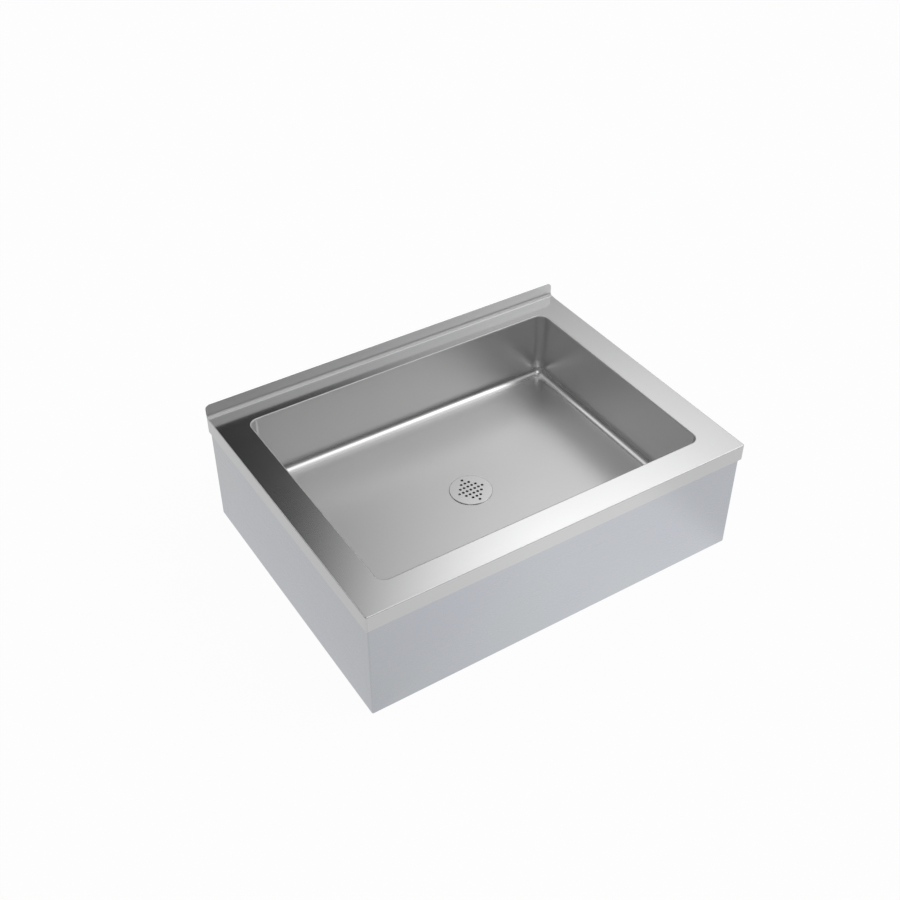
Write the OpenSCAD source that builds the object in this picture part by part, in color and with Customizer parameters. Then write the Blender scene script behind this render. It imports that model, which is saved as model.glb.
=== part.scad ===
// Floor-standing mop service sink: a folded stainless deck with a low rear
// splash, one coved bowl, a box skirt down to the floor, a drain kit with a
// lift-out strainer, and four levelling feet hidden inside the skirt corners.
// Millimetres. Origin on the floor under the centre of the deck's outline,
// +X to the right, +Y back towards the wall, +Z up.

/* [Overall] */
// Width of the deck over its side aprons
overall_w = 838; // [700:1:1010]
// Depth of the deck from the front apron to the back of the splash
overall_d = 635; // [530:1:770]
// Height of the deck's top above the floor
deck_h = 254; // [211:1:320]
// Thickness of the stainless sheet
sheet_t = 1.5; // [1.2:0.1:1.9]

/* [Deck] */
// Width of the rim on the left and on the right of the bowl
rim_side = 63; // [50:1:90]
// Width of the rim in front of the bowl
rim_front = 60; // [50:1:90]
// Width of the rim behind the bowl, with the splash
rim_rear = 56.5; // [45:0.5:90]
// Height of the turned-down aprons
apron_h = 35.5; // [25:0.5:60]
// Radius of the deck's front corners, seen from above
deck_corner_r = 4; // [3:0.5:12]
// Outer radius of the bend between deck and apron
deck_bend_r = 2; // [2:0.25:3]
// Height of the rear splash above the deck
splash_h = 29; // [22:0.5:60]
// Radius of the cove between deck and splash
splash_cove_r = 7; // [4:0.5:12]
// Radius of the splash's two top corners
splash_corner_r = 9; // [4:0.5:12]

/* [Bowl] */
// Depth of the bowl from the deck's top to its floor
bowl_depth = 155; // [120:1:186]
// Radius of the bowl's vertical corners
bowl_corner_r = 20; // [19.5:0.5:40]
// Radius of the cove round the bowl's floor
bowl_cove_r = 19; // [12:0.5:19]
// Outer radius of the bend between deck and bowl
bowl_bend_r = 2.5; // [2.25:0.25:4]

/* [Skirt] */
// Distance of the skirt behind the aprons
skirt_inset = 4.6; // [3.5:0.1:12]
// Outer radius of the skirt's two front corners
skirt_corner_r = 3; // [2.5:0.5:8]
// How far the front skirt runs back past its corners
skirt_return = 12; // [8:1:20]
// Width of the skirt's inward flanges at the deck and at the floor
skirt_flange = 15; // [12:0.5:18]

/* [Strainer] */
// Diameter of the strainer plate
strainer_d = 88.5; // [88:0.5:108]
// Thickness of the strainer plate
strainer_t = 1.5; // [1:0.1:2]
// Diameter of the strainer's holes
hole_d = 6; // [4:0.1:7]
// Distance between neighbouring holes, left to right
hole_pitch_x = 9.1; // [8.5:0.1:11]
// Distance between neighbouring holes, front to back
hole_pitch_y = 11.1; // [8.5:0.1:11.5]
// Holes from the middle to each point of the diamond pattern
hole_rings = 3; // [1:1:3]

/* [Drain] */
// Wall of the outlet's threaded cup
drain_wall = 2; // [1.5:0.1:3]
// Depth of the outlet's cup below the bowl's floor
drain_cup_h = 25; // [23:0.5:30]
// Depth of the outlet's spigot below the bowl's floor
drain_len = 40; // [38:0.5:46]
// Outer diameter of the outlet's threaded spigot
spigot_d = 60; // [58:0.5:66]
// Outer diameter of the tailpiece
tail_d = 50.8; // [40:0.1:52]
// Height of the tailpiece's open end above the floor
tail_end_z = 10; // [2:0.5:20]

/* [Support] */
// Distance of each bearer's middle from the middle of the sink
bearer_x = 170; // [100:1:250]
// Width of each bearer
bearer_w = 60; // [40:1:80]
// Height of each bearer
bearer_h = 22; // [12:0.5:40]
// Thickness of the sound pads
pad_t = 3; // [2:0.5:5]
// Distance of each foot's axis from the inner faces of the skirt
foot_inset = 40; // [36:0.5:50]
// Diameter of the levelling pads
foot_d = 36; // [28:0.5:40]
// Diameter of the levelling studs
stud_d = 10; // [8:0.5:12]
// Height of the corner brackets' underside above the floor
bracket_z = 30; // [28:0.5:60]

/* [Hidden] */
CORNERS = ["front_left", "front_right", "rear_left", "rear_right"];
SIDES = ["left", "right"];
PLAIN_NODES = ["deck", "bowl", "front_skirt", "rear_skirt", "left_skirt",
    "right_skirt", "strainer", "drain_body", "drain_gasket",
    "friction_washer", "drain_locknut", "tailpiece_washer", "tailpiece",
    "coupling_nut", "weld_nuts"];

$fn = 72;
cut = 1;             // how far a cutting shape runs past what it cuts
weld_gap = 0.05;     // gap at a ground flush weld
lip_gap = 0.1;       // between the apron's lip and the skirt

// Heights
deck_under = deck_h - sheet_t;
floor_z = deck_h - bowl_depth;
floor_under = floor_z - sheet_t;

// Deck outline
half_w = overall_w/2;
half_d = overall_d/2;
corner_x = half_w - deck_corner_r;
corner_y = half_d - deck_corner_r;
cove_front = half_d - sheet_t - splash_cove_r;
edge_lip_in = deck_corner_r - skirt_inset + lip_gap;

// Bowl opening
bowl_w = overall_w - 2*rim_side;
bowl_d = overall_d - rim_front - rim_rear;
bowl_y = (rim_front - rim_rear)/2;
bowl_cx = bowl_w/2 - bowl_corner_r;
bowl_cy = bowl_d/2 - bowl_corner_r;
flat_y = bowl_d/2 - bowl_cove_r;

// Skirt
skirt_x = half_w - skirt_inset;
skirt_front = -half_d + skirt_inset;
skirt_in_x = skirt_x - sheet_t;
skirt_in_front = skirt_front + sheet_t;
skirt_in_rear = half_d - sheet_t;
return_end = skirt_front + skirt_corner_r + skirt_return;

// Strainer
strainer_r = strainer_d/2;
strainer_edge_r = 0.9;
strainer_lap = 0.75;      // how far the plate reaches past the recess
leg_gap = 0.3;
leg_t = 1.5;
leg_h = 14;
leg_angle = 24;
leg_start = 50;
leg_count = 3;

// Drain
recess_gap = 0.5;
recess_r = strainer_r - strainer_lap;
drain_flange_r = recess_r - recess_gap;
drain_seat = 4;           // width of the flange outside the cup
cup_r = drain_flange_r - drain_seat;
cup_in_r = cup_r - drain_wall;
cup_floor_t = 3;
leg_r = cup_in_r - leg_gap;
recess_depth = 2.5;
recess_z = floor_z - recess_depth;
recess_under = recess_z - sheet_t;
flange_proud = 0.3;
drain_top = floor_z + flange_proud;
cup_end = floor_z - drain_cup_h;
drain_end = floor_z - drain_len;
hole_fit = 0.4;           // cup in the bowl's floor hole
thread_fit = 0.05;        // between the plain cylinders that stand for threads
floor_hole_r = cup_r + hole_fit;
spigot_r = spigot_d/2;
spigot_step = 0.9;        // spigot's bore inside the tailpiece's outside
spigot_in_r = tail_d/2 - spigot_step;
gasket_t = 3;
gasket_w = 11;
gasket_r = cup_r + gasket_w;
gasket_z = recess_under - gasket_t;
washer_t = 1;
washer_step = 1;
washer_z = gasket_z - washer_t;
locknut_t = 8;
locknut_w = 6;
locknut_r = cup_r + locknut_w;
locknut_z = washer_z - locknut_t;
locknut_lugs = 6;
locknut_lug_w = 10;
locknut_lug_h = 5;

// Tailpiece
tail_r = tail_d/2;
tail_wall = 1.5;
tail_in_r = tail_r - tail_wall;
tail_bend_r = 2.5;
tail_seat_r = tail_r + tail_bend_r;
tail_flange_gap = 0.5;
tail_flange_r = spigot_r - tail_flange_gap;
tail_washer_t = 2;
tail_washer_z = drain_end - tail_washer_t;
tail_flange_z = tail_washer_z - tail_wall;
tail_bend_z = tail_flange_z - tail_bend_r;
coupling_cap = 2;
coupling_z = tail_flange_z - coupling_cap;
coupling_grip = 12;
coupling_top = drain_end + coupling_grip;
coupling_w = 5;
coupling_r = spigot_r + coupling_w;
coupling_ribs = 8;
coupling_rib_w = 5;
coupling_rib_h = 2.5;
tail_fit = 0.3;

// Sound pads: between the drain, the bearers and the bowl's cove
pad_margin = 20;
pad_in_x = 12;
pad_bearer_gap = 8;
pad_out_x = bearer_x - bearer_w/2 - pad_bearer_gap;
pad_in_y = gasket_r + pad_margin;
pad_out_y = flat_y - pad_margin;

// Feet
bracket_t = 3;
bracket_reach = 20;       // how far a bracket runs past its foot's axis
bracket_size = foot_inset + bracket_reach;
bracket_up = 15;
bracket_notch = skirt_corner_r + 1;
bracket_hole_r = (stud_d + 1)/2;
nut_flats = stud_d + 7;
nut_h = 8;
stud_fit = 0.05;
stud_r = stud_d/2 - stud_fit;
stud_above = 32;          // stud's end above its bracket's underside
stud_top = bracket_z + stud_above;
collar_z = 13;
collar_h = 6;
collar_flats = stud_d + 4;
socket_r = 4.1;
socket_z = 4.5;
swivel_r = 4;
swivel_gap = 0.3;
foot_base_h = 6;
hub_r = 9;
hub_h = 11;
foot_rounding = 1.5;

// Colours
STEEL = [0.78, 0.79, 0.80];
DARK_STEEL = [0.62, 0.63, 0.64];
RUBBER = [0.12, 0.12, 0.13];
FIBRE = [0.62, 0.45, 0.30];

// A quarter of a flat ring, in the first quadrant
module quarter_ring(r_in, r_out) {
    intersection() {
        difference() {
            circle(r_out);
            circle(r_in);
        }
        square(r_out);
    }
}

// A flat ring lying at height z
module ring(r_in, r_out, z, h) {
    translate([0, 0, z])
        difference() {
            cylinder(h = h, r = r_out);
            translate([0, 0, -cut]) cylinder(h = h + 2*cut, r = r_in);
        }
}

// A hexagon by its width across the flats
module hexagon(flats, h) {
    cylinder(h = h, r = flats/sqrt(3), $fn = 6);
}

// A section drawn as (distance outwards, height), run along Y for a length
module run_along_y(len) {
    rotate([90, 0, 0]) linear_extrude(len, center = true) children();
}

// The same section turned a quarter round a vertical corner
module turn_corner() {
    rotate_extrude(angle = 90) children();
}

// A rectangle with round corners, by its size
module round_rect(w, d, r) {
    union() {
        square([w - 2*r, d], center = true);
        square([w, d - 2*r], center = true);
        for (x = [-1, 1], y = [-1, 1])
            translate([x*(w/2 - r), y*(d/2 - r)]) circle(r);
    }
}

// Places a thing at the bowl's centre line
module at_bowl() {
    translate([0, bowl_y, 0]) children();
}

// Places a thing drawn for the rear right corner at corner i
module at_corner(i) {
    mirror([i % 2 == 0 ? 1 : 0, 0, 0])
        if (i < 2)
            translate([skirt_in_x, skirt_in_front, 0]) mirror([0, 1, 0]) children();
        else
            translate([skirt_in_x, skirt_in_rear, 0]) children();
}

// ---- Deck ----

// Section of the deck's edge: flat, bend, apron and the lip under it
module deck_edge_section(lip_in) {
    flat = deck_corner_r - deck_bend_r;
    translate([0, deck_under]) square([flat, sheet_t]);
    translate([flat, deck_h - deck_bend_r])
        quarter_ring(deck_bend_r - sheet_t, deck_bend_r);
    translate([deck_corner_r - sheet_t, deck_h - apron_h])
        square([sheet_t, apron_h - deck_bend_r]);
    translate([lip_in, deck_h - apron_h])
        square([deck_corner_r - lip_in, sheet_t]);
}

// Apron end behind the cove's start, closed up to the cove's curve
module side_cheek() {
    cheek_d = half_d - cove_front;
    translate([half_w - sheet_t, 0, 0])
        rotate([90, 0, 90])
            linear_extrude(sheet_t)
                difference() {
                    translate([cove_front, deck_h - apron_h])
                        square([cheek_d, apron_h + splash_cove_r]);
                    translate([cove_front, deck_h + splash_cove_r])
                        circle(splash_cove_r);
                }
    translate([skirt_x + lip_gap, cove_front, deck_h - apron_h])
        cube([skirt_inset - lip_gap, cheek_d, sheet_t]);
    translate([skirt_x + lip_gap, half_d - sheet_t, deck_h - apron_h])
        cube([skirt_inset - lip_gap, sheet_t, apron_h - sheet_t]);
}

module deck_side() {
    side_len = cove_front + corner_y;
    side_mid = (cove_front - corner_y)/2;
    translate([corner_x, side_mid, 0])
        run_along_y(side_len) deck_edge_section(edge_lip_in);
    side_cheek();
    translate([corner_x, -corner_y, 0])
        rotate(-90) turn_corner() deck_edge_section(max(0, edge_lip_in));
}

module deck_plate() {
    translate([0, 0, deck_under])
        linear_extrude(sheet_t)
            difference() {
                translate([-corner_x, -corner_y])
                    square([2*corner_x, corner_y + cove_front]);
                translate([0, bowl_y])
                    round_rect(bowl_w + 2*(bowl_bend_r + weld_gap),
                        bowl_d + 2*(bowl_bend_r + weld_gap),
                        bowl_corner_r + bowl_bend_r + weld_gap);
            }
}

module splash() {
    plate_h = splash_h - splash_cove_r;
    translate([0, cove_front, deck_h + splash_cove_r])
        rotate([90, 0, 90])
            linear_extrude(overall_w, center = true)
                mirror([0, 1])
                    quarter_ring(splash_cove_r, splash_cove_r + sheet_t);
    translate([0, half_d, deck_h + splash_cove_r])
        rotate([90, 0, 0])
            linear_extrude(sheet_t)
                union() {
                    translate([-half_w, 0])
                        square([overall_w, plate_h - splash_corner_r]);
                    translate([-half_w + splash_corner_r, 0])
                        square([overall_w - 2*splash_corner_r, plate_h]);
                    for (x = [-1, 1])
                        translate([x*(half_w - splash_corner_r), plate_h - splash_corner_r])
                            circle(splash_corner_r);
                }
}

module deck() {
    color(STEEL) {
        deck_plate();
        deck_side();
        mirror([1, 0, 0]) deck_side();
        translate([0, -corner_y, 0])
            rotate(-90)
                run_along_y(2*corner_x) deck_edge_section(edge_lip_in);
        splash();
    }
}

// ---- Bowl ----

// Section of the bowl's wall: floor edge, cove, wall and the bend at the rim
module bowl_section() {
    flat = bowl_corner_r - bowl_cove_r;
    wall_h = bowl_depth - bowl_cove_r - bowl_bend_r;
    translate([0, floor_under]) square([flat, sheet_t]);
    translate([flat, floor_z + bowl_cove_r])
        mirror([0, 1])
            quarter_ring(bowl_cove_r, bowl_cove_r + sheet_t);
    translate([bowl_corner_r, floor_z + bowl_cove_r]) square([sheet_t, wall_h]);
    translate([bowl_corner_r + bowl_bend_r, deck_h - bowl_bend_r])
        mirror([1, 0])
            quarter_ring(bowl_bend_r - sheet_t, bowl_bend_r);
}

// Round dish in the floor that takes the outlet's flange
module floor_recess() {
    rotate_extrude() {
        translate([recess_r, recess_under])
            square([sheet_t, recess_depth + sheet_t]);
        translate([floor_hole_r, recess_under])
            square([recess_r - floor_hole_r + sheet_t/2, sheet_t]);
    }
}

module bowl_floor() {
    translate([0, 0, floor_under])
        difference() {
            linear_extrude(sheet_t) square([2*bowl_cx, 2*bowl_cy], center = true);
            translate([0, 0, -cut]) cylinder(h = sheet_t + 2*cut, r = recess_r + sheet_t/2);
        }
}

module bowl() {
    color(STEEL)
        at_bowl() {
            bowl_floor();
            floor_recess();
            for (x = [-1, 1])
                rotate(x > 0 ? 0 : 180)
                    translate([bowl_cx, 0, 0]) run_along_y(2*bowl_cy) bowl_section();
            for (y = [-1, 1])
                rotate(y > 0 ? 90 : 270)
                    translate([bowl_cy, 0, 0]) run_along_y(2*bowl_cx) bowl_section();
            for (i = [0:3])
                rotate(90*i)
                    translate(i % 2 == 0 ? [bowl_cx, bowl_cy, 0] : [bowl_cy, bowl_cx, 0])
                        turn_corner() bowl_section();
        }
}

// ---- Skirt ----

// Plan of the front skirt: straight front, round corners, short returns
module front_skirt_plan() {
    straight = skirt_x - skirt_corner_r;
    translate([-straight, skirt_front]) square([2*straight, sheet_t]);
    for (x = [-1, 1])
        mirror([x > 0 ? 0 : 1, 0]) {
            translate([straight, skirt_front + skirt_corner_r])
                mirror([0, 1]) quarter_ring(skirt_corner_r - sheet_t, skirt_corner_r);
            translate([skirt_in_x, skirt_front + skirt_corner_r])
                square([sheet_t, skirt_return]);
        }
}

module front_skirt() {
    flange_x = skirt_x - skirt_corner_r;
    color(STEEL) {
        linear_extrude(deck_under) front_skirt_plan();
        for (z = [0, deck_under - sheet_t])
            translate([-flange_x, skirt_front, z])
                cube([2*flange_x, skirt_flange, sheet_t]);
    }
}

module rear_skirt() {
    color(STEEL) {
        translate([-skirt_x, skirt_in_rear, 0])
            cube([2*skirt_x, sheet_t, deck_under]);
        for (z = [0, deck_under - sheet_t])
            translate([-skirt_in_x, skirt_in_rear - skirt_flange + sheet_t, z])
                cube([2*skirt_in_x, skirt_flange, sheet_t]);
    }
}

// Right side skirt: plain panel with its flanges clear of the front and rear
module side_skirt() {
    flange_gap = 1;
    flange_front = max(return_end, skirt_front + skirt_flange) + flange_gap;
    flange_rear = skirt_in_rear - skirt_flange - flange_gap;
    translate([skirt_in_x, return_end, 0])
        cube([sheet_t, skirt_in_rear - return_end, deck_under]);
    for (z = [0, deck_under - sheet_t])
        translate([skirt_x - skirt_flange, flange_front, z])
            cube([skirt_flange, flange_rear - flange_front, sheet_t]);
}

module left_skirt() {
    color(STEEL) mirror([1, 0, 0]) side_skirt();
}

module right_skirt() {
    color(STEEL) side_skirt();
}

// ---- Drain ----

module strainer_holes() {
    for (i = [-hole_rings:hole_rings], j = [-hole_rings:hole_rings])
        if (abs(i) + abs(j) <= hole_rings)
            translate([i*hole_pitch_x, j*hole_pitch_y, drain_top - cut])
                cylinder(h = strainer_t + 2*cut, r = hole_d/2);
}

module strainer() {
    color(STEEL)
        at_bowl() {
            difference() {
                rotate_extrude()
                    translate([0, drain_top]) {
                        square([strainer_r - strainer_edge_r, strainer_t]);
                        square([strainer_r, strainer_t - strainer_edge_r]);
                        translate([strainer_r - strainer_edge_r, strainer_t - strainer_edge_r])
                            intersection() {
                                circle(strainer_edge_r);
                                square(strainer_edge_r);
                            }
                    }
                strainer_holes();
            }
            for (i = [0:leg_count - 1])
                rotate(leg_start + i*360/leg_count - leg_angle/2)
                    rotate_extrude(angle = leg_angle)
                        translate([leg_r - leg_t, drain_top - leg_h])
                            square([leg_t, leg_h + strainer_t/2]);
        }
}

module drain_body() {
    color(DARK_STEEL)
        at_bowl()
            rotate_extrude() {
                translate([cup_in_r, cup_end])
                    square([drain_wall, drain_top - cup_end]);
                translate([cup_in_r, recess_z])
                    square([drain_flange_r - cup_in_r, drain_top - recess_z]);
                translate([spigot_in_r, cup_end])
                    square([cup_r - spigot_in_r, cup_floor_t]);
                translate([spigot_in_r, drain_end])
                    square([spigot_r - spigot_in_r, cup_end - drain_end + cup_floor_t]);
            }
}

module drain_gasket() {
    color(RUBBER) at_bowl() ring(floor_hole_r, gasket_r, gasket_z, gasket_t);
}

module friction_washer() {
    color(FIBRE) at_bowl() ring(floor_hole_r, gasket_r - washer_step, washer_z, washer_t);
}

module drain_locknut() {
    color(DARK_STEEL)
        at_bowl()
            difference() {
                translate([0, 0, locknut_z])
                    union() {
                        cylinder(h = locknut_t, r = locknut_r);
                        for (i = [0:locknut_lugs - 1])
                            rotate(i*360/locknut_lugs)
                                translate([cup_r + 1, -locknut_lug_w/2, 0])
                                    cube([locknut_w + locknut_lug_h - 1,
                                        locknut_lug_w, locknut_t]);
                    }
                translate([0, 0, locknut_z - cut])
                    cylinder(h = locknut_t + 2*cut, r = cup_r + thread_fit);
            }
}

module tailpiece_washer() {
    color(RUBBER) at_bowl() ring(spigot_in_r, tail_flange_r, tail_washer_z, tail_washer_t);
}

// Tube with its upper end bent out to a flange that the nut's cap holds
module tailpiece() {
    color(STEEL)
        at_bowl()
            rotate_extrude() {
                translate([tail_in_r, tail_end_z])
                    square([tail_wall, tail_bend_z - tail_end_z]);
                translate([tail_seat_r, tail_flange_z])
                    square([tail_flange_r - tail_seat_r, tail_wall]);
                translate([tail_seat_r, tail_bend_z])
                    intersection() {
                        difference() {
                            circle(tail_bend_r + tail_wall);
                            circle(tail_bend_r);
                        }
                        translate([-tail_seat_r, 0]) square(tail_seat_r);
                    }
            }
}

module coupling_nut() {
    color(DARK_STEEL)
        at_bowl()
            difference() {
                translate([0, 0, coupling_z])
                    union() {
                        cylinder(h = coupling_top - coupling_z, r = coupling_r);
                        for (i = [0:coupling_ribs - 1])
                            rotate(i*360/coupling_ribs)
                                translate([spigot_r + 1, -coupling_rib_w/2, 0])
                                    cube([coupling_w + coupling_rib_h - 1,
                                        coupling_rib_w, coupling_top - coupling_z]);
                    }
                translate([0, 0, tail_flange_z])
                    cylinder(h = coupling_top, r = spigot_r + thread_fit);
                translate([0, 0, coupling_z - cut])
                    cylinder(h = coupling_cap + 2*cut, r = tail_seat_r + tail_fit);
            }
}

// ---- Support under the bowl ----

// Bearer: an open channel under the bowl floor, from skirt to skirt
module bearer(i) {
    bearer_len = skirt_in_rear - skirt_in_front;
    x = (i == 0 ? -1 : 1)*bearer_x;
    color(DARK_STEEL)
        translate([x, skirt_in_front, floor_under - bearer_h])
            difference() {
                translate([-bearer_w/2, 0, 0]) cube([bearer_w, bearer_len, bearer_h]);
                translate([-bearer_w/2 + sheet_t, -cut, -cut])
                    cube([bearer_w - 2*sheet_t, bearer_len + 2*cut, bearer_h - sheet_t + cut]);
            }
}

module sound_pad(i) {
    color(RUBBER)
        at_bowl()
            mirror([i % 2 == 0 ? 1 : 0, 0, 0])
                mirror([0, i < 2 ? 1 : 0, 0])
                    translate([pad_in_x, pad_in_y, floor_under - pad_t])
                        cube([pad_out_x - pad_in_x, pad_out_y - pad_in_y, pad_t]);
}

// ---- Levelling feet ----

module corner_bracket(i) {
    color(DARK_STEEL)
        at_corner(i)
            difference() {
                translate([-bracket_size, -bracket_size, bracket_z])
                    difference() {
                        cube([bracket_size, bracket_size, bracket_t + bracket_up]);
                        translate([-cut, -cut, bracket_t])
                            cube([bracket_size - bracket_t + cut,
                                bracket_size - bracket_t + cut, bracket_up + cut]);
                    }
                translate([-bracket_notch, -bracket_notch, bracket_z - cut])
                    cube(bracket_t + bracket_up + 2*cut);
                translate([-foot_inset, -foot_inset, bracket_z - cut])
                    cylinder(h = bracket_t + 2*cut, r = bracket_hole_r);
            }
}

module weld_nuts() {
    color(DARK_STEEL)
        for (i = [0:3])
            at_corner(i)
                translate([-foot_inset, -foot_inset, bracket_z + bracket_t])
                    difference() {
                        hexagon(nut_flats, nut_h);
                        translate([0, 0, -cut]) cylinder(h = nut_h + 2*cut, r = stud_d/2);
                    }
}

module foot_stud(i) {
    color(DARK_STEEL)
        at_corner(i)
            translate([-foot_inset, -foot_inset, 0]) {
                translate([0, 0, socket_z + swivel_gap])
                    cylinder(h = collar_z - socket_z, r = swivel_r);
                translate([0, 0, collar_z]) hexagon(collar_flats, collar_h);
                translate([0, 0, collar_z + collar_h/2])
                    cylinder(h = stud_top - collar_z - collar_h/2, r = stud_r);
            }
}

module foot_pad(i) {
    color(RUBBER)
        at_corner(i)
            translate([-foot_inset, -foot_inset, 0])
                difference() {
                    union() {
                        cylinder(h = foot_base_h - foot_rounding, r = foot_d/2);
                        translate([0, 0, foot_base_h - foot_rounding])
                            cylinder(h = foot_rounding, r1 = foot_d/2,
                                r2 = foot_d/2 - foot_rounding);
                        cylinder(h = hub_h, r = hub_r);
                    }
                    translate([0, 0, socket_z]) cylinder(h = hub_h, r = socket_r);
                }
}

deck();
bowl();
front_skirt();
rear_skirt();
left_skirt();
right_skirt();
strainer();
drain_body();
drain_gasket();
friction_washer();
drain_locknut();
tailpiece_washer();
tailpiece();
coupling_nut();
weld_nuts();
for (i = [0:1])
    bearer(i);
for (i = [0:3])
    sound_pad(i);
for (i = [0:3])
    corner_bracket(i);
for (i = [0:3])
    foot_stud(i);
for (i = [0:3])
    foot_pad(i);
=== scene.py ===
import math

import bmesh
import bpy
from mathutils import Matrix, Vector


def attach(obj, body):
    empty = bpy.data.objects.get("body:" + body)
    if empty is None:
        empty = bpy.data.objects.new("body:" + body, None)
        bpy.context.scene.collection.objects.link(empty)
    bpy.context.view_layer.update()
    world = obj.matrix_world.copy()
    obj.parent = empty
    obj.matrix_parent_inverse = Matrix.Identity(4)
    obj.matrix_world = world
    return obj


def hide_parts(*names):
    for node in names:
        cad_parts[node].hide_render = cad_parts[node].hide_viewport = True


# Floor-standing mop service sink, in metres and in the CAD's own frame. Every
# CAD node is drawn again in its place: the deck and the bowl as sheets with true
# bends, the strainer, the outlet and the feet as turned shapes, and the rest from
# their CAD shape with eased edges. The strainer's holes and the threads come from
# Geometry Nodes, and every piece has a procedural finish.

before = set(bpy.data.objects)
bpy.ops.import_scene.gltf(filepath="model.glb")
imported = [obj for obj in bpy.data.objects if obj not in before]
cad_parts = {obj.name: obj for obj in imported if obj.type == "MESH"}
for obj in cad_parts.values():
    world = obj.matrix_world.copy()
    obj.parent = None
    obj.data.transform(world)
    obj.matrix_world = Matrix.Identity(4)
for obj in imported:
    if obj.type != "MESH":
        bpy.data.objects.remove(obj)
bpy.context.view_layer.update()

# ---- Sizes, as in the part's source ----

UP = Vector((0, 0, 1))
DOWN = Vector((0, 0, -1))

SHEET = 0.0015
HALF_W = 0.419            # of the deck, over its aprons
HALF_D = 0.3175
DECK_Z = 0.254            # top of the rim
FLOOR_Z = 0.099           # top of the bowl's floor
EDGE_R = 0.002            # bend between the deck and its aprons
CORNER_R = 0.004          # deck's front corners, from above
APRON_Z = 0.2185          # underside of the aprons
APRON_BEND = 0.001        # bend between an apron and its lip
LIP_IN = 0.0045           # lip's width under an apron
SPLASH_Z = 0.283          # top of the splash
COVE_R = 0.007            # cove at the foot of the splash
COVE_Y = HALF_D - SHEET - COVE_R     # where the deck starts to rise into the cove
SPLASH_CORNER_R = 0.009
WELD_R = 0.0003           # ground edge where the cove meets the apron's end
FADE = 0.010              # length over which the deck's bend fades into that edge

BOWL_Y = 0.00175          # middle of the bowl
OUTLET = (0, BOWL_Y)      # axis of the outlet and the strainer
BOWL_HALF_X = 0.356
BOWL_HALF_Y = 0.25925
BOWL_CORNER_R = 0.020
BOWL_COVE_R = 0.019
BOWL_BEND = 0.0025        # bend between the rim and the walls
RECESS_R = 0.0435         # recess round the outlet
RECESS_DEPTH = 0.0025
OUTLET_HOLE_R = 0.0394
RECESS_STEPS = 48

STRAINER_R = 0.04425
STRAINER_Z = 0.0993       # underside of the plate
STRAINER_T = 0.0015
STRAINER_EDGE_R = 0.0009
STRAINER_NICK = 0.0001    # bevel of the plate's lower edge
LEG_R = 0.0367            # outside of the strainer's legs
LEG_T = 0.0015
LEG_Z = 0.0853            # lower end of the legs
LEG_LAP = 0.0005          # how far a leg reaches into the plate
LEG_SWEEP = math.radians(24)
LEG_START = math.radians(50)
HOLE_R = 0.003
HOLE_PITCH = (0.0091, 0.0111)
HOLE_RINGS = 3            # holes from the middle one to a corner of the diamond
HOLE_SIDES = 32
PUNCH_LENGTH = 0.006
TURNED_SIDES = 96         # of the strainer's plate and the outlet

# Outlet and feet, under the bowl
DRAIN_FLANGE = (0.0430, 0.0965, 0.0993)     # radius, underside, top
DRAIN_CUP = (0.0370, 0.0390, 0.0740)        # inner and outer radius, underside
DRAIN_SPIGOT = (0.0245, 0.0300, 0.0590)     # the same for the spigot
DRAIN_STEP = 0.0020                         # thickness of the cup's floor
DRAIN_PITCH = 0.0020
DRAIN_THREAD = 0.0009                       # depth of its threads
CUP_PLAIN = 0.003                           # plain length above the cup's thread
SPIGOT_PLAIN = 0.001                        # and above the spigot's
STUD_R = 0.00495
STUD_TOP = 0.0620
STUD_TIP = 0.0010                           # bevel at the stud's top
STUD_PITCH = 0.0015
STUD_THREAD = 0.0008
THREAD_START = 0.0005                       # plain length where a thread begins
STUD_SIDES = 32
COLLAR_FLATS = 0.0140                       # across the spanner flats
COLLAR_SIDES = 36
COLLAR_EDGE = 0.0009                        # height over which its corners are cut
COLLAR_ROUND = 1.06                         # its ends' radius over half its flats
COLLAR = (0.0130, 0.0190)                   # lower and upper end
SWIVEL_NECK = 0.8                           # neck's radius over the ball's
SWIVEL = (0.0040, 0.0048)                   # radius, lower end
PAD_R = 0.0180
PAD_HUB_R = 0.0090
PAD_EDGE_R = 0.0009
PAD_SIDES = 64
PAD_HEIGHTS = (0.0060, 0.0110)              # base, hub
PAD_SOCKET = (0.0041, 0.0045)               # radius, floor
FEET_X = 0.3729
FEET_Y = (-0.2714, 0.2760)                  # front, rear

CORNERS = ("front_left", "front_right", "rear_left", "rear_right")


# ---- Mesh helpers ----

SHEET_GAP = 2e-6          # points closer than this are one, on sheets
TURNED_GAP = 1e-7         # and on small turned pieces
NO_AREA = 1e-13           # a face this small is deleted
CENTRE_R = 0.0001         # a turned outline's inner end, almost on its axis
FLAT_ANGLE = 0.5          # faces within this many degrees of each other are one flat

DECK_EASE = 0.0002        # width of the eased edges
SKIRT_EASE = 0.0003
STRAINER_EASE = 0.00015

SHEET_SHARP = 35          # edges past this many degrees stay sharp in the shading
PART_SHARP = 30
PAD_SHARP = 40


def arc(cx, cy, r, start, end, steps):
    """Points on an arc, angles in degrees, both ends included."""
    points = []
    for i in range(steps + 1):
        a = math.radians(start + (end - start) * i / steps)
        points.append((cx + r * math.cos(a), cy + r * math.sin(a)))
    return points


def around(steps):
    """Angles of a whole turn, in radians."""
    return [2 * math.pi * i / steps for i in range(steps)]


def circle(centre, r, z, angles):
    return [(centre[0] + r * math.cos(a), centre[1] + r * math.sin(a), z)
            for a in angles]


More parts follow.
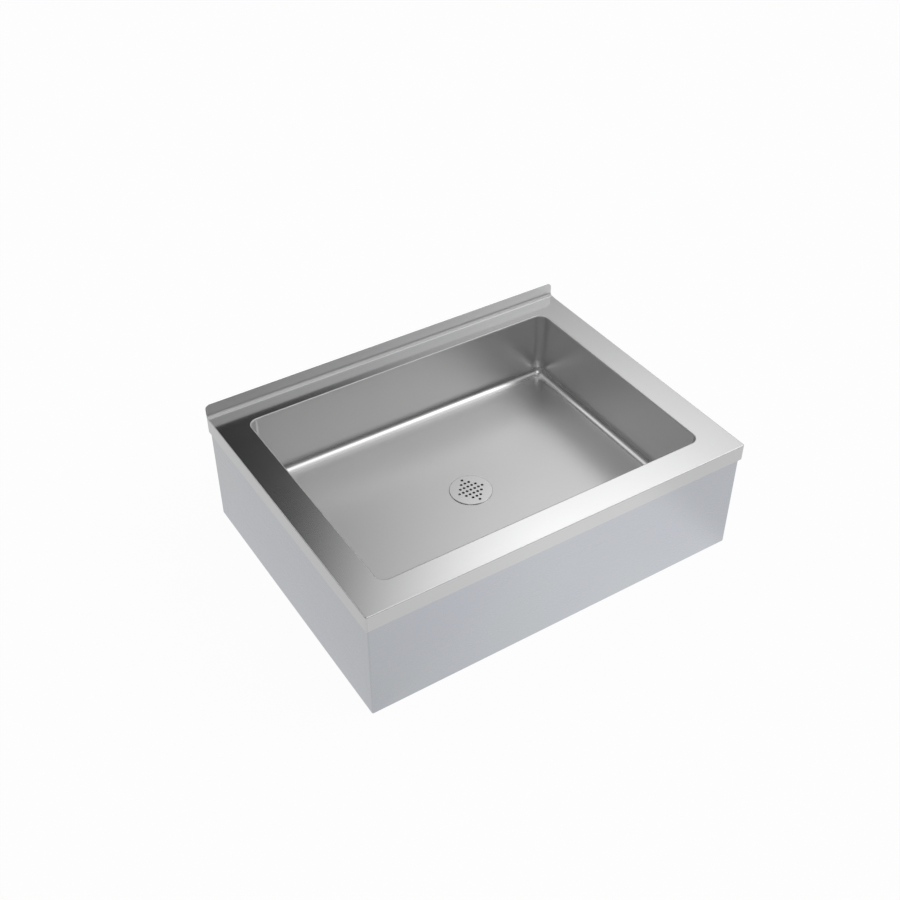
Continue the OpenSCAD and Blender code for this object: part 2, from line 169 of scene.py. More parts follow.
def add_grid(bm, rows, closed=False):
    """Quads between rows of points; each row has the same number of points."""
    verts = [[bm.verts.new(p) for p in row] for row in rows]
    for low, high in zip(verts, verts[1:]):
        count = len(low)
        for i in range(count if closed else count - 1):
            j = (i + 1) % count
            bm.faces.new([low[i], low[j], high[j], high[i]])
    return verts


def add_loop(bm, points):
    """A closed loop of edges through the points."""
    verts = [bm.verts.new(p) for p in points]
    return [bm.edges.new((a, b)) for a, b in zip(verts, verts[1:] + verts[:1])]


def piece_from(bm, name):
    """Makes an object of the bmesh, which is used up."""
    mesh = bpy.data.meshes.new(name)
    bm.to_mesh(mesh)
    bm.free()
    piece = bpy.data.objects.new(name, mesh)
    bpy.context.scene.collection.objects.link(piece)
    return piece


def merge(bm, gap):
    """Makes points closer than the gap one, and drops the faces that this empties."""
    bmesh.ops.remove_doubles(bm, verts=bm.verts, dist=gap)
    thin = [f for f in bm.faces if f.calc_area() < NO_AREA]
    bmesh.ops.delete(bm, geom=thin, context="FACES")


def close_up(bm):
    """Merges a small closed piece and turns its faces outwards."""
    merge(bm, TURNED_GAP)
    bmesh.ops.recalc_face_normals(bm, faces=bm.faces)


def face_up(bm):
    """Turns an open skin so that its largest level face looks up."""
    bmesh.ops.recalc_face_normals(bm, faces=bm.faces)
    best = max(bm.faces, key=lambda f: abs(f.normal.dot(UP)) * f.calc_area())
    if best.normal.dot(UP) < 0:
        bmesh.ops.reverse_faces(bm, faces=bm.faces)


def add_mesh(piece, more):
    """Adds a bmesh's faces to a piece's mesh."""
    extra = bpy.data.meshes.new("extra")
    more.to_mesh(extra)
    more.free()
    bm = bmesh.new()
    bm.from_mesh(piece.data)
    bm.from_mesh(extra)
    bm.to_mesh(piece.data)
    bm.free()
    bpy.data.meshes.remove(extra)


def add_modifier(piece, kind, **values):
    modifier = piece.modifiers.new(kind.lower(), kind)
    for key, value in values.items():
        setattr(modifier, key, value)


def bake_modifiers(piece):
    """Turns what the modifiers make into the piece's own plain mesh."""
    graph = bpy.context.evaluated_depsgraph_get()
    graph.update()
    made = bpy.data.meshes.new_from_object(piece.evaluated_get(graph), depsgraph=graph)
    piece.modifiers.clear()
    piece.data = made


def smooth(piece, angle):
    """Smooth shading with sharp edges past an angle in degrees, flats kept flat."""
    piece.data.shade_smooth()
    piece.data.set_sharp_from_angle(angle=math.radians(angle))
    add_modifier(piece, "WEIGHTED_NORMAL", keep_sharp=True, weight=90)
    bake_modifiers(piece)


def ease_edges(piece, width, angle=50):
    """Rounds the edges that are sharper than an angle in degrees."""
    add_modifier(piece, "BEVEL", width=width, segments=2, limit_method="ANGLE",
                 angle_limit=math.radians(angle), miter_outer="MITER_ARC",
                 use_clamp_overlap=True)
    bake_modifiers(piece)


def grain_uv(piece):
    """UV in metres with U along the grain: X on flat and front faces, Y on side faces."""
    mesh = piece.data
    layer = mesh.uv_layers.get("grain") or mesh.uv_layers.new(name="grain")
    for polygon in mesh.polygons:
        nx, ny, nz = (abs(c) for c in polygon.normal)
        for loop in polygon.loop_indices:
            x, y, z = mesh.vertices[mesh.loops[loop].vertex_index].co
            if nx > ny and nx > nz:
                uv = (y, z)
            elif ny > nz:
                uv = (x, z)
            else:
                uv = (x, y)
            layer.data[loop].uv = uv


def thicken(piece):
    """Gives an open skin its sheet thickness, behind the face that shows."""
    add_modifier(piece, "SOLIDIFY", thickness=SHEET, offset=-1, use_even_offset=True,
                 use_quality_normals=True)
    bake_modifiers(piece)


def copy_of(node, name, edge):
    """A CAD node drawn again with merged flats and eased edges."""
    bm = bmesh.new()
    bm.from_mesh(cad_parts[node].data)
    merge(bm, SHEET_GAP)
    bmesh.ops.dissolve_limit(bm, angle_limit=math.radians(FLAT_ANGLE), verts=bm.verts,
                             edges=bm.edges)
    for layer in list(bm.loops.layers.uv):
        bm.loops.layers.uv.remove(layer)
    piece = piece_from(bm, name)
    ease_edges(piece, edge)
    return piece


# ---- Finishes ----

class Nodes:
    """Short words for building a node tree."""

    def __init__(self, tree):
        self.tree = tree
        tree.nodes.clear()

    def add(self, kind, **values):
        node = self.tree.nodes.new(kind)
        for key, value in values.items():
            setattr(node, key, value)
        return node

    def join(self, source, target):
        self.tree.links.new(source, target)

    def math(self, operation, a, b=None, clamp=False):
        node = self.add("ShaderNodeMath", operation=operation, use_clamp=clamp)
        for socket, value in zip(node.inputs, (a, b)):
            if value is None:
                continue
            if hasattr(value, "is_output"):
                self.join(value, socket)
            else:
                socket.default_value = value
        return node.outputs[0]


def new_material(name):
    material = bpy.data.materials.new(name)
    material.use_nodes = True
    return material, Nodes(material.node_tree)


def object_place(n):
    return n.add("ShaderNodeTexCoord").outputs["Object"]


def parts_of(n, vector):
    """The X, Y and Z outputs of a vector."""
    parts = n.add("ShaderNodeSeparateXYZ")
    n.join(vector, parts.inputs[0])
    return parts.outputs


def facing(n):
    """How far the surface faces along X, Y and Z, each from 0 to 1."""
    normal = parts_of(n, n.add("ShaderNodeNewGeometry").outputs["Normal"])
    return [n.math("ABSOLUTE", part) for part in normal]


def map_range(n, value, start, end, low, high, **values):
    """Maps start to end onto low to high."""
    node = n.add("ShaderNodeMapRange", **values)
    n.join(value, node.inputs["Value"])
    for name, number in zip(("From Min", "From Max", "To Min", "To Max"),
                            (start, end, low, high)):
        node.inputs[name].default_value = number
    return node.outputs["Result"]


def grain_noise(n, along, across, detail, rough):
    """Noise drawn out along the piece's grain UV."""
    reader = n.add("ShaderNodeUVMap", uv_map="grain")
    mapping = n.add("ShaderNodeMapping")
    n.join(reader.outputs[0], mapping.inputs[0])
    mapping.inputs["Scale"].default_value = (along, across, 1)
    return noise(n, mapping.outputs[0], 1.0, detail, rough)


def noise(n, vector, scale, detail, rough):
    node = n.add("ShaderNodeTexNoise")
    n.join(vector, node.inputs["Vector"])
    node.inputs["Scale"].default_value = scale
    node.inputs["Detail"].default_value = detail
    node.inputs["Roughness"].default_value = rough
    return node.outputs["Fac"]


def spread(n, value, low, high):
    """Maps a noise value, which lies mostly in 0.3 to 0.7, onto low to high."""
    return map_range(n, value, 0.3, 0.7, low, high)


def spread_round(n, value, middle, reach):
    return spread(n, value, middle - reach, middle + reach)


LINE_ROUGHNESS = 0.012     # how much a brushed line changes the roughness
STREAK_ROUGHNESS = 0.004   # and a wider streak
LINE_DEPTH = 0.00002
FLOOR_CLOUDS = 0.3         # share of the cloudiness on the floor of a bowl whose walls are painted darker


def blend_colours(n, factor, first, second):
    node = n.add("ShaderNodeMix", data_type="RGBA")
    n.join(factor, node.inputs["Factor"])
    node.inputs["A"].default_value = (*first, 1)
    node.inputs["B"].default_value = (*second, 1)
    return node.outputs["Result"]


def bump(n, height, strength, distance):
    node = n.add("ShaderNodeBump")
    node.inputs["Strength"].default_value = strength
    node.inputs["Distance"].default_value = distance
    n.join(height, node.inputs["Height"])
    return node.outputs["Normal"]


def show(n, surface):
    out = n.add("ShaderNodeOutputMaterial")
    n.join(surface, out.inputs["Surface"])


def shader(n, metallic=0.0):
    node = n.add("ShaderNodeBsdfPrincipled")
    node.inputs["Metallic"].default_value = metallic
    show(n, node.outputs[0])
    return node


# A face counts as flat from the second of these, and as a bend up to the first,
# by how far it faces along one axis
FLAT_FACING = (0.96, 0.999)


def finish_in_bends(n, rough, upright, bent, low_bends):
    """Roughness of a folded piece: level faces, upright faces and bends differ.

    upright is what upright faces have more than level ones. low_bends gives the
    roughness of the lower bends, the height up to which it holds, and the length
    over which it fades into that of the other bends."""
    x, y, z = facing(n)
    stands = n.math("MULTIPLY", n.math("SUBTRACT", 1.0, z), upright)
    most = n.math("MAXIMUM", n.math("MAXIMUM", x, y), z)
    flat = map_range(n, most, *FLAT_FACING, 0.0, 1.0, interpolation_type="SMOOTHSTEP")
    lower, height, fade = low_bends
    bends = map_range(n, parts_of(n, object_place(n))["Z"], height, height + fade,
                      lower, bent)
    mix = n.add("ShaderNodeMix", data_type="FLOAT")
    n.join(flat, mix.inputs["Factor"])
    n.join(bends, mix.inputs["A"])
    n.join(n.math("ADD", rough, stands), mix.inputs["B"])
    return mix.outputs["Result"]


def brushed_steel(name, pale, deep, roughness, depth, folds=None, drawn=False):
    """Satin stainless: fine lines along the grain over a faint cloudiness.

    folds are finish_in_bends's last three values. With drawn, upright faces get the deep
    colour and level faces the pale one: painted shade on the walls and painted light on
    the floor."""
    material, n = new_material(name)
    steel = shader(n, metallic=1.0)
    lines = grain_noise(n, along=9.0, across=1300.0, detail=3.0, rough=0.6)
    streaks = grain_noise(n, along=2.0, across=90.0, detail=2.0, rough=0.5)
    clouds = noise(n, object_place(n), scale=5.0, detail=1.0, rough=0.4)
    tone = spread(n, clouds, 0.0, 1.0)
    if drawn:
        # painted shade and light: upright faces lean to the deep colour, level ones to
        # the pale one
        wall = n.math("SUBTRACT", 1.0, facing(n)[2])
        tone = n.math("MAXIMUM", wall, n.math("MULTIPLY", tone, FLOOR_CLOUDS))
    n.join(blend_colours(n, tone, pale, deep), steel.inputs["Base Color"])
    rough = n.math("ADD", spread_round(n, lines, 0.0, LINE_ROUGHNESS),
                   spread_round(n, streaks, roughness, STREAK_ROUGHNESS))
    if folds:
        rough = finish_in_bends(n, rough, *folds)
    n.join(rough, steel.inputs["Roughness"])
    n.join(bump(n, lines, depth, LINE_DEPTH), steel.inputs["Normal"])
    return material


def turned_metal(name, colour, deep, roughness, scale=600.0):
    """Machined or cast metal with a fine even texture."""
    material, n = new_material(name)
    metal = shader(n, metallic=1.0)
    place = object_place(n)
    fine = noise(n, place, scale, detail=3.0, rough=0.6)
    clouds = noise(n, place, scale=25.0, detail=2.0, rough=0.5)
    n.join(blend_colours(n, spread(n, clouds, 0.0, 1.0), colour, deep),
           metal.inputs["Base Color"])
    n.join(spread_round(n, fine, roughness, 0.05), metal.inputs["Roughness"])
    n.join(bump(n, fine, strength=0.4, distance=0.00003), metal.inputs["Normal"])
    return material


def galvanised(name):
    """Hot-dipped sheet with its crystal spangle."""
    material, n = new_material(name)
    metal = shader(n, metallic=1.0)
    place = object_place(n)
    cells = n.add("ShaderNodeTexVoronoi")
    cells.inputs["Scale"].default_value = 110.0
    n.join(place, cells.inputs["Vector"])
    tone = n.add("ShaderNodeSeparateColor")
    n.join(cells.outputs["Color"], tone.inputs[0])
    n.join(blend_colours(n, tone.outputs["Red"], (0.48, 0.50, 0.52), (0.66, 0.68, 0.70)),
           metal.inputs["Base Color"])
    n.join(spread(n, tone.outputs["Green"], 0.36, 0.46), metal.inputs["Roughness"])
    fine = noise(n, place, scale=350.0, detail=3.0, rough=0.6)
    n.join(bump(n, fine, strength=0.3, distance=0.00004), metal.inputs["Normal"])
    return material


def matte(name, colour, deep, roughness, scale, depth, distance):
    """Rubber, fibre, damping sheet and nylon: mottled, with a moulded texture."""
    material, n = new_material(name)
    base = shader(n)
    place = object_place(n)
    grainy = noise(n, place, scale, detail=4.0, rough=0.65)
    clouds = noise(n, place, scale=40.0, detail=2.0, rough=0.5)
    n.join(blend_colours(n, spread(n, clouds, 0.0, 1.0), colour, deep),
           base.inputs["Base Color"])
    n.join(spread_round(n, grainy, roughness, 0.06), base.inputs["Roughness"])
    n.join(bump(n, grainy, depth, distance), base.inputs["Normal"])
    return material


# finish_in_bends's values: what upright faces have more, the bends, the lower bends
DECK_FOLDS = (0.15, 0.68, (0.26, DECK_Z - 0.0002, 0.0002))
BOWL_FOLDS = (0.01, 0.64, (0.25, FLOOR_Z + BOWL_COVE_R, 0.02))

FINISH = {
    "deck_steel": brushed_steel("deck steel", (0.65, 0.65, 0.65), (0.63, 0.63, 0.635),
                                roughness=0.15, depth=0.15, folds=DECK_FOLDS),
    # the bowl's walls painted darker than its floor: painted shade and painted light
    "bowl_steel": brushed_steel("bowl steel", (0.68, 0.68, 0.68), (0.60, 0.60, 0.60),
                                roughness=0.34, depth=0.04, folds=BOWL_FOLDS,
                                drawn=True),
    # the skirts' steel is the deck's stainless painted darker: painted shade on the lower
    # sides
    "skirt_steel": brushed_steel("skirt steel", (0.55, 0.57, 0.59), (0.54, 0.555, 0.60),
                                 roughness=0.28, depth=0.05),
    "strainer_steel": brushed_steel("strainer steel", (0.56, 0.56, 0.56),
                                    (0.54, 0.54, 0.54), roughness=0.20, depth=0.08),
    "outlet_steel": turned_metal("outlet steel", (0.60, 0.60, 0.60),
                                 (0.56, 0.56, 0.57), roughness=0.32),
    "zinc_steel": turned_metal("zinc plate", (0.58, 0.60, 0.63), (0.52, 0.54, 0.58),
                               roughness=0.30),
    "galvanised_steel": galvanised("galvanised sheet"),
    "brass": turned_metal("cast brass", (0.66, 0.50, 0.24), (0.60, 0.44, 0.20),
                          roughness=0.34, scale=300.0),
    "rubber": matte("black rubber", (0.035, 0.035, 0.036), (0.05, 0.05, 0.05),
                    roughness=0.62, scale=500.0, depth=0.3, distance=0.00005),
    "damping_pad": matte("damping sheet", (0.075, 0.077, 0.082), (0.10, 0.10, 0.105),
                         roughness=0.70, scale=260.0, depth=0.6, distance=0.00015),
    "fibre": matte("pressed fibre", (0.42, 0.23, 0.13), (0.34, 0.18, 0.10),
                   roughness=0.75, scale=700.0, depth=0.5, distance=0.00006),
    "foot_plastic": matte("nylon", (0.045, 0.045, 0.047), (0.06, 0.06, 0.06),
                          roughness=0.48, scale=400.0, depth=0.25, distance=0.00005),
}


def finish_piece(piece, slot, body, node):
    """Gives a new piece its finish and body, in place of the CAD node."""
    piece.data.materials.clear()
    piece.data.materials.append(FINISH[slot])
    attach(piece, body)
    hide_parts(node)


# ---- Geometry Nodes ----

def new_tree(name, numbers, counts=()):
    """A Geometry Nodes tree that takes a mesh, numbers, counts and a finish."""
    tree = bpy.data.node_groups.new(name, "GeometryNodeTree")
    sockets = [("Geometry", "Geometry")]
    sockets += [(word, "Float") for word in numbers]
    sockets += [(word, "Int") for word in counts]
    sockets += [("Finish", "Material")]
    for word, kind in sockets:
        tree.interface.new_socket(word, in_out="INPUT", socket_type="NodeSocket" + kind)
    tree.interface.new_socket("Geometry", in_out="OUTPUT",
                              socket_type="NodeSocketGeometry")
    n = Nodes(tree)
    return tree, n, n.add("NodeGroupInput").outputs


def end_tree(n, geometry, finish):
    """The last nodes: the shape made real, with its finish."""
    real = n.add("GeometryNodeRealizeInstances")
    n.join(geometry, real.inputs[0])
    paint = n.add("GeometryNodeSetMaterial")
    n.join(real.outputs[0], paint.inputs["Geometry"])
    n.join(finish, paint.inputs["Material"])
    out = n.add("NodeGroupOutput")
    n.join(paint.outputs[0], out.inputs[0])


def run_tree(piece, tree, **values):
    """Adds the tree to the piece, sets its inputs by identifier, keeps the result."""
    modifier = piece.modifiers.new(tree.name, "NODES")
    modifier.node_group = tree
    sockets = {s.name: s.identifier for s in tree.interface.items_tree
               if s.in_out == "INPUT"}
    for name, value in values.items():
        modifier[sockets[name.replace("_", " ")]] = value
    bake_modifiers(piece)


# ---- Deck ----

BEND_STEPS = 6
LIP_STEPS = 3
COVE_STEPS = 12
FADE_STEPS = 5
CORNER_STEPS = 8


def edge_station(point, into, side, lip, bend):
    """One section of the deck's edge, from the flat round the bend to the lip.

    point is where the top surface and the outer face would meet, into points into
    the sheet, side points outwards, and lip is above the lip's inner edge."""
    row = []
    for i in range(BEND_STEPS + 1):
        a = math.radians(90 * i / BEND_STEPS)
        out = side * (bend * (math.sin(a) - 1))
        row.append(point + out + into * (bend * (1 - math.cos(a))))
    foot = row[-1].copy()
    for i in range(LIP_STEPS + 1):
        a = math.radians(90 * i / LIP_STEPS)
        foot.z = APRON_Z + APRON_BEND * (1 - math.sin(a))
        row.append(foot + side * (APRON_BEND * (math.cos(a) - 1)))
    row.append(Vector((lip.x, lip.y, APRON_Z)))
    return row


def side_stations():
    """Sections of the right edge: down the cove, and on until the bend is full."""
    side = Vector((1, 0, 0))
    stations = []
    for i in range(COVE_STEPS, 0, -1):
        a = math.radians(90 * i / COVE_STEPS)
        into = Vector((0, math.sin(a), -math.cos(a)))
        point = Vector((HALF_W, COVE_Y + COVE_R * math.sin(a),
                        DECK_Z + COVE_R * (1 - math.cos(a))))
        lip = Vector((HALF_W - LIP_IN, point.y + WELD_R * math.sin(a), 0))
        stations.append(edge_station(point, into, side, lip, WELD_R))
    for i in range(FADE_STEPS + 1):
        t = i / FADE_STEPS
        fade = t * t * (3 - 2 * t)
        point = Vector((HALF_W, COVE_Y - FADE * t, DECK_Z))
        bend = WELD_R + (EDGE_R - WELD_R) * fade
        lip = Vector((HALF_W - LIP_IN, point.y, 0))
        stations.append(edge_station(point, DOWN, side, lip, bend))
    return stations


def front_corner_stations():
    """Sections round the right front corner. The lip's inner edge isn't rounded."""
    centre = Vector((HALF_W - CORNER_R, -HALF_D + CORNER_R, DECK_Z))
    stations = []
    for i in range(CORNER_STEPS + 1):
        a = math.radians(-90 * i / CORNER_STEPS)
        side = Vector((math.cos(a), math.sin(a), 0))
        lip = Vector((HALF_W - LIP_IN, -HALF_D + LIP_IN, 0))
        if i == 0:
            lip.y = centre.y
        if i == CORNER_STEPS:
            lip.x = centre.x
        stations.append(edge_station(centre + side * CORNER_R, DOWN, side, lip, EDGE_R))
    return stations


def opening_loop(offset, z, steps=12):
    """The bowl's plan at a distance outside its corner centres, anticlockwise."""
    cx = BOWL_HALF_X - BOWL_CORNER_R
    cy = BOWL_HALF_Y - BOWL_CORNER_R
    points = []
    for sx, sy, start in ((1, 1, 0), (-1, 1, 90), (-1, -1, 180), (1, -1, 270)):
        for x, y in arc(sx * cx, BOWL_Y + sy * cy, offset, start, start + 90, steps):
            points.append((x, y, z))
    return points


def mirrored(points):
    return [Vector((-x, y, z)) for x, y, z in points]


def splash_face(bm):
    """The flat of the splash above its cove, with rounded top corners."""
    side = [(HALF_W - WELD_R, DECK_Z + COVE_R), (HALF_W, DECK_Z + COVE_R + WELD_R)]
    side += arc(HALF_W - SPLASH_CORNER_R, SPLASH_Z - SPLASH_CORNER_R,
                SPLASH_CORNER_R, 0, 90, 10)
    side += [(-x, z) for x, z in reversed(side)]
    bm.faces.new([bm.verts.new((x, HALF_D - SHEET, z)) for x, z in side])


def make_deck():
    """The deck, its aprons and the splash, folded from one sheet."""
    right = side_stations() + front_corner_stations()
    left = [mirrored(row) for row in right]
    bm = bmesh.new()
    add_grid(bm, right + left[::-1])
    top = [row[0] for row in right]
    # the cove, straight across from one side to the other
    add_grid(bm, [[p, *mirrored([p])] for p in top[:COVE_STEPS + 1]])
    splash_face(bm)
    # flat top round the bowl's opening
    rim = top[COVE_STEPS:]
    edges = add_loop(bm, rim + mirrored(reversed(rim)))
    edges += add_loop(bm, opening_loop(BOWL_CORNER_R + BOWL_BEND, DECK_Z))
    bmesh.ops.triangle_fill(bm, use_beauty=True, use_dissolve=False, edges=edges)
    merge(bm, SHEET_GAP)
    face_up(bm)
    deck = piece_from(bm, "deck_sheet")
    thicken(deck)
    ease_edges(deck, DECK_EASE, angle=60)
    # what the easing pushed past the outer faces goes back to them
    for v in deck.data.vertices:
        v.co.x = min(max(v.co.x, -HALF_W), HALF_W)
        v.co.y = min(max(v.co.y, -HALF_D), HALF_D)
    smooth(deck, SHEET_SHARP)
    grain_uv(deck)
    finish_piece(deck, "deck_steel", "sink", "deck")


# ---- Bowl ----

def bowl_profile():
    """(distance outside the corner centres, height) from the rim down to the floor."""
    rim = BOWL_CORNER_R + BOWL_BEND
    points = arc(rim, DECK_Z - BOWL_BEND, BOWL_BEND, 90, 180, 8)
    flat = BOWL_CORNER_R - BOWL_COVE_R
    points += arc(flat, FLOOR_Z + BOWL_COVE_R, BOWL_COVE_R, 0, -90, 28)
    return points


def outlet_circle(r, z):
    last = 360 - 360 / RECESS_STEPS
    return [(x, y, z) for x, y in arc(*OUTLET, r, 0, last, RECESS_STEPS - 1)]


def make_bowl():
    """The bowl, drawn from one sheet, with the recess and hole for the outlet."""
    bm = bmesh.new()
    rows = [opening_loop(s, z) for s, z in bowl_profile()]
    add_grid(bm, rows, closed=True)
    edges = add_loop(bm, rows[-1])
    ring = outlet_circle(RECESS_R, FLOOR_Z)
    edges += add_loop(bm, ring)
    bmesh.ops.triangle_fill(bm, use_beauty=True, use_dissolve=False, edges=edges)
    lower = outlet_circle(RECESS_R, FLOOR_Z - RECESS_DEPTH)
    inner = outlet_circle(OUTLET_HOLE_R, FLOOR_Z - RECESS_DEPTH)
    add_grid(bm, [ring, lower, inner], closed=True)
    merge(bm, SHEET_GAP)
    face_up(bm)
    bowl = piece_from(bm, "bowl_sheet")
    thicken(bowl)
    smooth(bowl, SHEET_SHARP)
    grain_uv(bowl)
    finish_piece(bowl, "bowl_steel", "sink", "bowl")


# ---- Skirts ----

def make_skirts():
    for side in ("front", "rear", "left", "right"):
        skirt = copy_of(side + "_skirt", side + "_skirt_sheet", SKIRT_EASE)
        smooth(skirt, SHEET_SHARP)
        grain_uv(skirt)
        finish_piece(skirt, "skirt_steel", "sink", side + "_skirt")


# ---- Strainer ----

def diamond_points(n, given):
    """Points of a grid, those outside the diamond left out."""
    reach = n.math("MULTIPLY", given["Rings"], 2.0)
    count = n.math("ADD", reach, 1.0)
    grid = n.add("GeometryNodeMeshGrid")
    for axis in "XY":
        size = n.math("MULTIPLY", reach, given["Pitch " + axis])
        n.join(size, grid.inputs["Size " + axis])
        n.join(count, grid.inputs["Vertices " + axis])
    place = parts_of(n, n.add("GeometryNodeInputPosition").outputs[0])
    steps = [n.math("ABSOLUTE", n.math("DIVIDE", place[axis], given["Pitch " + axis]))
             for axis in "XY"]
    inside = n.math("LESS_THAN", n.math("ADD", *steps),
                    n.math("ADD", given["Rings"], 0.5))
    points = n.add("GeometryNodeMeshToPoints")
    n.join(grid.outputs["Mesh"], points.inputs["Mesh"])
    n.join(inside, points.inputs["Selection"])
    return points.outputs[0]


def holes_tree():
    """Punches a diamond of round holes through a plate."""
    tree, n, given = new_tree("punched diamond",
                              ("Hole Radius", "Pitch X", "Pitch Y", "Middle Y",
                               "Middle Z", "Depth"), ("Rings",))
    punch = n.add("GeometryNodeMeshCylinder")
    punch.inputs["Vertices"].default_value = HOLE_SIDES
    n.join(given["Hole Radius"], punch.inputs["Radius"])
    n.join(given["Depth"], punch.inputs["Depth"])
    placed = n.add("GeometryNodeInstanceOnPoints")
    n.join(diamond_points(n, given), placed.inputs["Points"])
    n.join(punch.outputs["Mesh"], placed.inputs["Instance"])
    middle = n.add("ShaderNodeCombineXYZ")
    n.join(given["Middle Y"], middle.inputs["Y"])
    n.join(given["Middle Z"], middle.inputs["Z"])
    moved = n.add("GeometryNodeTransform")
    n.join(placed.outputs[0], moved.inputs["Geometry"])
    n.join(middle.outputs[0], moved.inputs["Translation"])
    real = n.add("GeometryNodeRealizeInstances")
    n.join(moved.outputs[0], real.inputs[0])
    cut = n.add("GeometryNodeMeshBoolean", operation="DIFFERENCE", solver="EXACT")
    n.join(given["Geometry"], cut.inputs["Mesh 1"])
    n.join(real.outputs[0], cut.inputs["Mesh 2"])
    end_tree(n, cut.outputs[0], given["Finish"])
    return tree


def make_plate():
    """The strainer's plate with its punched holes."""
    top = STRAINER_Z + STRAINER_T
    profile = [(0, top)]
    profile += arc(STRAINER_R - STRAINER_EDGE_R, top - STRAINER_EDGE_R,
                   STRAINER_EDGE_R, 90, 0, 6)
    profile += [(STRAINER_R, STRAINER_Z + STRAINER_NICK),
                (STRAINER_R - STRAINER_NICK, STRAINER_Z), (0, STRAINER_Z)]
    bm = bmesh.new()
    add_grid(bm, [circle(OUTLET, r, z, around(TURNED_SIDES)) for r, z in profile],
             closed=True)
    close_up(bm)
    plate = piece_from(bm, "strainer_plate")
    run_tree(plate, holes_tree(), Hole_Radius=HOLE_R, Pitch_X=HOLE_PITCH[0],
             Pitch_Y=HOLE_PITCH[1], Middle_Y=BOWL_Y, Middle_Z=STRAINER_Z,
             Depth=PUNCH_LENGTH, Rings=HOLE_RINGS, Finish=FINISH["strainer_steel"])
    return plate


LEGS = 3
LEG_STEPS = 10


def strainer_legs():
    """Curved legs that stand inside the outlet's cup."""
    inner = LEG_R - LEG_T
    top = STRAINER_Z + LEG_LAP
    box = [(inner, LEG_Z), (LEG_R, LEG_Z), (LEG_R, top), (inner, top), (inner, LEG_Z)]
    legs = bmesh.new()
    for i in range(LEGS):
        start = LEG_START + i * 2 * math.pi / LEGS - LEG_SWEEP / 2
        angles = [start + LEG_SWEEP * k / LEG_STEPS for k in range(LEG_STEPS + 1)]
        verts = add_grid(legs, [circle(OUTLET, r, z, angles) for r, z in box])
        for end in (0, -1):
            legs.faces.new([row[end] for row in verts[:4]])
    close_up(legs)
    return legs


def make_strainer():
    strainer = make_plate()
    add_mesh(strainer, strainer_legs())
    ease_edges(strainer, STRAINER_EASE)
    smooth(strainer, PART_SHARP)
    grain_uv(strainer)
    finish_piece(strainer, "strainer_steel", "strainer", "strainer")


# ---- Outlet ----

THREAD_EDGE = 0.0001       # points this near the crest radius belong to the thread


def thread_tree():
    """Winds a V thread into the fine rows of a turned shape."""
    tree, n, given = new_tree("wound thread", ("Centre X", "Centre Y", "Low", "High",
                                               "Crest Radius", "Pitch", "Depth"))
    place = parts_of(n, n.add("GeometryNodeInputPosition").outputs[0])
    x = n.math("SUBTRACT", place["X"], given["Centre X"])
    y = n.math("SUBTRACT", place["Y"], given["Centre Y"])
    z = place["Z"]
    pitch = given["Pitch"]
    r = n.math("SQRT", n.math("ADD", n.math("MULTIPLY", x, x), n.math("MULTIPLY", y, y)))
    turn = n.math("DIVIDE", n.math("ARCTAN2", y, x), 2 * math.pi)
    wave = n.math("SUBTRACT", n.math("DIVIDE", z, pitch), turn)
    groove = n.math("PINGPONG", n.math("MULTIPLY", wave, 2.0), 1.0)
    run_in = n.math("DIVIDE", n.math("SUBTRACT", z, given["Low"]), pitch, clamp=True)
    run_out = n.math("DIVIDE", n.math("SUBTRACT", given["High"], z), pitch, clamp=True)
    crest = n.math("SUBTRACT", given["Crest Radius"], THREAD_EDGE)
    outer = n.math("GREATER_THAN", r, crest)
    share = n.math("MULTIPLY", n.math("MULTIPLY", run_in, run_out), outer)
    sink = n.math("MULTIPLY", n.math("MULTIPLY", groove, share), given["Depth"])
    scale = n.math("DIVIDE", sink, r)
    shift = n.add("ShaderNodeCombineXYZ")
    for axis, value in (("X", x), ("Y", y)):
        inwards = n.math("MULTIPLY", n.math("MULTIPLY", value, scale), -1.0)
        n.join(inwards, shift.inputs[axis])
    moved = n.add("GeometryNodeSetPosition")
    n.join(given["Geometry"], moved.inputs["Geometry"])
    n.join(shift.outputs[0], moved.inputs["Offset"])
    end_tree(n, moved.outputs[0], given["Finish"])
    return tree


THREAD = thread_tree()


def fine_side(r, low, high, pitch, rows=8):
    """(r, z) points up a threaded length, close enough together for its thread."""
    count = max(2, round((high - low) / pitch * rows))
    return [(r, low + (high - low) * i / count) for i in range(count + 1)]


def eased(profile, r, steps=4):
    """Rounds every corner of a closed (r, z) outline by the radius r."""
    points = []
    count = len(profile)
    for i in range(count):
        before, here, after = (Vector(profile[(i + k) % count]) for k in (-1, 0, 1))
        a, b = before - here, after - here
        cut = min(r, 0.45 * a.length, 0.45 * b.length)
        start, end = here + a.normalized() * cut, here + b.normalized() * cut
        for k in range(steps + 1):
            t = k / steps
            point = start * (1 - t) ** 2 + here * (2 * t * (1 - t)) + end * t ** 2
            points.append(tuple(point))
    return points


def closed_ring(bm, outline, centre, steps):
    """Turns a closed (r, z) outline round a vertical axis through centre."""
    rows = []
    for a in around(steps):
        rows.append([(centre[0] + r * math.cos(a), centre[1] + r * math.sin(a), z)
                     for r, z in outline])
    add_grid(bm, rows + rows[:1], closed=True)


